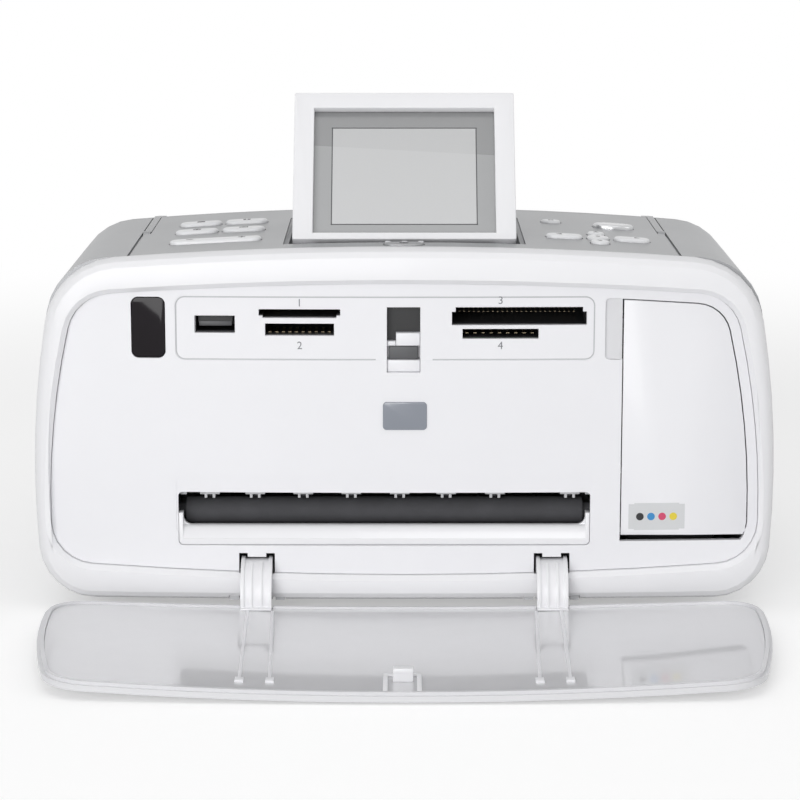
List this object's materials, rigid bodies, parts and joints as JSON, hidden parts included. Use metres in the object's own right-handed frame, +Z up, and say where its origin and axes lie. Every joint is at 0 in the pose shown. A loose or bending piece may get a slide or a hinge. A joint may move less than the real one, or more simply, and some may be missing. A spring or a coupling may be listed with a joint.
{
  "type": "compact photo printer",
  "caption": "Compact photo printer with a fold-down front door, card slots, a tilting display on the deck, keys and a carry handle.",
  "frame": {"origin": "on the table, under the middle of the casing", "axes": "+X to the right seen from the front, the front faces -Y, +Z up"},
  "size_m": [0.239, 0.2231, 0.1642],
  "materials": {
    "white_shell": "satin moulded",
    "panel_white": "fine satin",
    "silver_shell": "silver paint, satin",
    "base_grey": "satin",
    "rubber": "matt",
    "ir_black": "polished smoke",
    "screw_steel": "zinc plated",
    "liner_grey": "polished",
    "display_screen": "clear cover over a grey screen",
    "well_grey": "satin",
    "key_grey": "satin",
    "engine_dark": "satin",
    "sheet_metal": "zinc plated",
    "gear_plastic": "acetal",
    "roller_rubber": "ground",
    "circuit_green": "solder mask",
    "port_metal": "plated",
    "steel_rod": "ground"
  },
  "bodies": {
    "casing": {"base_tray": "base_grey", "rubber_feet": "rubber", "front_bezel": "white_shell", "front_panel": "panel_white", "ir_window": "ir_black", "paper_exit_lip": "white_shell", "top_cover": "silver_shell", "lcd_well": "well_grey", "rear_cover": "silver_shell", "case_screws": "screw_steel", "chassis": "sheet_metal", "platen": "engine_dark", "paper_ramp": "engine_dark", "guide_rod": "steel_rod", "drive_belt": "engine_dark", "carriage_motor": "sheet_metal", "feed_motor": "sheet_metal", "service_station": "engine_dark", "main_board": "circuit_green", "media_board": "circuit_green", "card_readers": "engine_dark", "camera_port": "port_metal", "power_jack": "engine_dark", "usb_port": "port_metal"},
    "output_door": {"output_door_shell": "white_shell", "output_door_liner": "liner_grey", "left_door_arm": "white_shell", "right_door_arm": "white_shell", "door_latch": "white_shell"},
    "ink_door": {"ink_door": "panel_white"},
    "display": {"lcd_frame": "white_shell", "lcd_back": "white_shell", "lcd_panel": "display_screen"},
    "carry_handle": {"carry_handle": "silver_shell"},
    "input_tray": {"input_tray": "silver_shell"},
    "tray_extender": {"tray_extender": "panel_white"},
    "paper_width_guide": {"paper_width_guide": "panel_white"},
    "zoom_rocker": {"zoom_rocker": "key_grey"},
    "carriage": {"carriage": "engine_dark", "ink_cartridge": "engine_dark"},
    "drive_pulley": {"drive_pulley": "gear_plastic"},
    "idler_pulley": {"idler_pulley": "gear_plastic"},
    "motor_pinion": {"motor_pinion": "gear_plastic"},
    "reduction_gear": {"reduction_gear": "gear_plastic"},
    "transfer_gear": {"transfer_gear": "gear_plastic"},
    "feed_roller": {"feed_roller": "roller_rubber"},
    "output_roller": {"output_roller": "roller_rubber"},
    "star_wheels": {"star_wheels": "roller_rubber"},
    "power_button": {"power_button": "key_grey"},
    "key_menu": {"key_menu": "key_grey"},
    "key_layout": {"key_layout": "key_grey"},
    "key_redeye": {"key_redeye": "key_grey"},
    "key_share": {"key_share": "key_grey"},
    "cancel_button": {"cancel_button": "key_grey"},
    "print_button": {"print_button": "white_shell"},
    "key_left": {"key_left": "key_grey"},
    "key_right": {"key_right": "key_grey"},
    "key_up": {"key_up": "key_grey"},
    "key_down": {"key_down": "key_grey"},
    "key_ok": {"key_ok": "key_grey"}
  },
  "joints": [
    {"name": "output_door_hinge", "type": "hinge", "parent": "casing", "child": "output_door", "pos_m": [0, -0.0533, 0.0062], "axis": [1, 0, 0], "range_deg": [-90, 0]},
    {"name": "ink_door_hinge", "type": "hinge", "parent": "casing", "child": "ink_door", "pos_m": [0.09, -0.05165, 0.0264], "axis": [1, 0, 0], "range_deg": [0, 70]},
    {"name": "display_hinge", "type": "hinge", "parent": "casing", "child": "display", "pos_m": [0, -0.03895, 0.1155], "axis": [1, 0, 0], "range_deg": [-54, 0]},
    {"name": "handle_hinge", "type": "hinge", "parent": "casing", "child": "carry_handle", "pos_m": [0, 0.003, 0.11402], "axis": [1, 0, 0], "range_deg": [0, 92]},
    {"name": "input_tray_hinge", "type": "hinge", "parent": "casing", "child": "input_tray", "pos_m": [-0.006, 0.0554, 0.0494], "axis": [-1, 0, 0], "range_deg": [0, 60]},
    {"name": "tray_extender_slide", "type": "slide", "parent": "input_tray", "child": "tray_extender", "axis": [0, 0, 1], "range_m": [0, 0.041]},
    {"name": "width_guide_slide", "type": "slide", "parent": "input_tray", "child": "paper_width_guide", "axis": [1, 0, 0], "range_m": [0, 0.024]},
    {"name": "power_button_press", "type": "slide", "parent": "casing", "child": "power_button", "axis": [0, 0, 1], "range_m": [-0.0008, 0], "stiffness_N_per_m": 120},
    {"name": "key_menu_press", "type": "slide", "parent": "casing", "child": "key_menu", "axis": [0, 0, 1], "range_m": [-0.0008, 0], "stiffness_N_per_m": 120},
    {"name": "key_layout_press", "type": "slide", "parent": "casing", "child": "key_layout", "axis": [0, 0, 1], "range_m": [-0.0008, 0], "stiffness_N_per_m": 120},
    {"name": "key_redeye_press", "type": "slide", "parent": "casing", "child": "key_redeye", "axis": [0, 0, 1], "range_m": [-0.0008, 0], "stiffness_N_per_m": 120},
    {"name": "key_share_press", "type": "slide", "parent": "casing", "child": "key_share", "axis": [0, 0, 1], "range_m": [-0.0008, 0], "stiffness_N_per_m": 120},
    {"name": "cancel_button_press", "type": "slide", "parent": "casing", "child": "cancel_button", "axis": [0, 0, 1], "range_m": [-0.0008, 0], "stiffness_N_per_m": 120},
    {"name": "print_button_press", "type": "slide", "parent": "casing", "child": "print_button", "axis": [0, 0, 1], "range_m": [-0.0008, 0], "stiffness_N_per_m": 120},
    {"name": "key_left_press", "type": "slide", "parent": "casing", "child": "key_left", "axis": [0, 0, 1], "range_m": [-0.0008, 0], "stiffness_N_per_m": 120},
    {"name": "key_right_press", "type": "slide", "parent": "casing", "child": "key_right", "axis": [0, 0, 1], "range_m": [-0.0008, 0], "stiffness_N_per_m": 120},
    {"name": "key_up_press", "type": "slide", "parent": "casing", "child": "key_up", "axis": [0, 0, 1], "range_m": [-0.0008, 0], "stiffness_N_per_m": 120},
    {"name": "key_down_press", "type": "slide", "parent": "casing", "child": "key_down", "axis": [0, 0, 1], "range_m": [-0.0008, 0], "stiffness_N_per_m": 120},
    {"name": "key_ok_press", "type": "slide", "parent": "casing", "child": "key_ok", "axis": [0, 0, 1], "range_m": [-0.0008, 0], "stiffness_N_per_m": 120},
    {"name": "zoom_rocker_tilt", "type": "hinge", "parent": "casing", "child": "zoom_rocker", "pos_m": [-0.0614, -0.0305, 0.1165], "axis": [0, 1, 0], "range_deg": [-3, 3], "stiffness_Nm_per_rad": 0.05},
    {"name": "carriage_slide", "type": "slide", "parent": "casing", "child": "carriage", "axis": [1, 0, 0], "range_m": [-0.163, 0]},
    {"name": "drive_pulley_spin", "type": "hinge", "parent": "casing", "child": "drive_pulley", "pos_m": [-0.098, 0.015, 0.08], "axis": [0, 1, 0], "range_deg": [-5, 1720]},
    {"name": "idler_pulley_spin", "type": "hinge", "parent": "casing", "child": "idler_pulley", "pos_m": [0.098, 0.015, 0.08], "axis": [0, 1, 0], "range_deg": [-5, 1720]},
    {"name": "feed_roller_spin", "type": "hinge", "parent": "casing", "child": "feed_roller", "pos_m": [0, 0.012, 0.033], "axis": [1, 0, 0], "continuous": true},
    {"name": "output_roller_spin", "type": "hinge", "parent": "casing", "child": "output_roller", "pos_m": [0, -0.043, 0.031], "axis": [1, 0, 0], "continuous": true},
    {"name": "star_wheels_spin", "type": "hinge", "parent": "casing", "child": "star_wheels", "pos_m": [0, -0.043, 0.03865], "axis": [1, 0, 0], "continuous": true},
    {"name": "transfer_gear_spin", "type": "hinge", "parent": "casing", "child": "transfer_gear", "pos_m": [-0.10675, -0.01602, 0.03515], "axis": [1, 0, 0], "continuous": true},
    {"name": "reduction_gear_spin", "type": "hinge", "parent": "casing", "child": "reduction_gear", "pos_m": [-0.10675, 0.02286, 0.04595], "axis": [1, 0, 0], "continuous": true},
    {"name": "motor_pinion_spin", "type": "hinge", "parent": "casing", "child": "motor_pinion", "pos_m": [-0.10675, 0.0243, 0.05957], "axis": [1, 0, 0], "continuous": true}
  ],
  "couplings": [
    {"joint": "drive_pulley_spin", "follows": "carriage_slide", "rad_per_m": -181.82},
    {"joint": "idler_pulley_spin", "follows": "carriage_slide", "rad_per_m": -181.82},
    {"joint": "tray_extender_slide", "follows": "input_tray_hinge", "m_per_rad": 0.0382},
    {"joint": "output_roller_spin", "follows": "feed_roller_spin", "ratio": 1.125},
    {"joint": "star_wheels_spin", "follows": "feed_roller_spin", "ratio": -1.6875},
    {"joint": "transfer_gear_spin", "follows": "feed_roller_spin", "ratio": -0.34615},
    {"joint": "reduction_gear_spin", "follows": "feed_roller_spin", "ratio": -0.75},
    {"joint": "motor_pinion_spin", "follows": "feed_roller_spin", "ratio": 1.8}
  ]
}
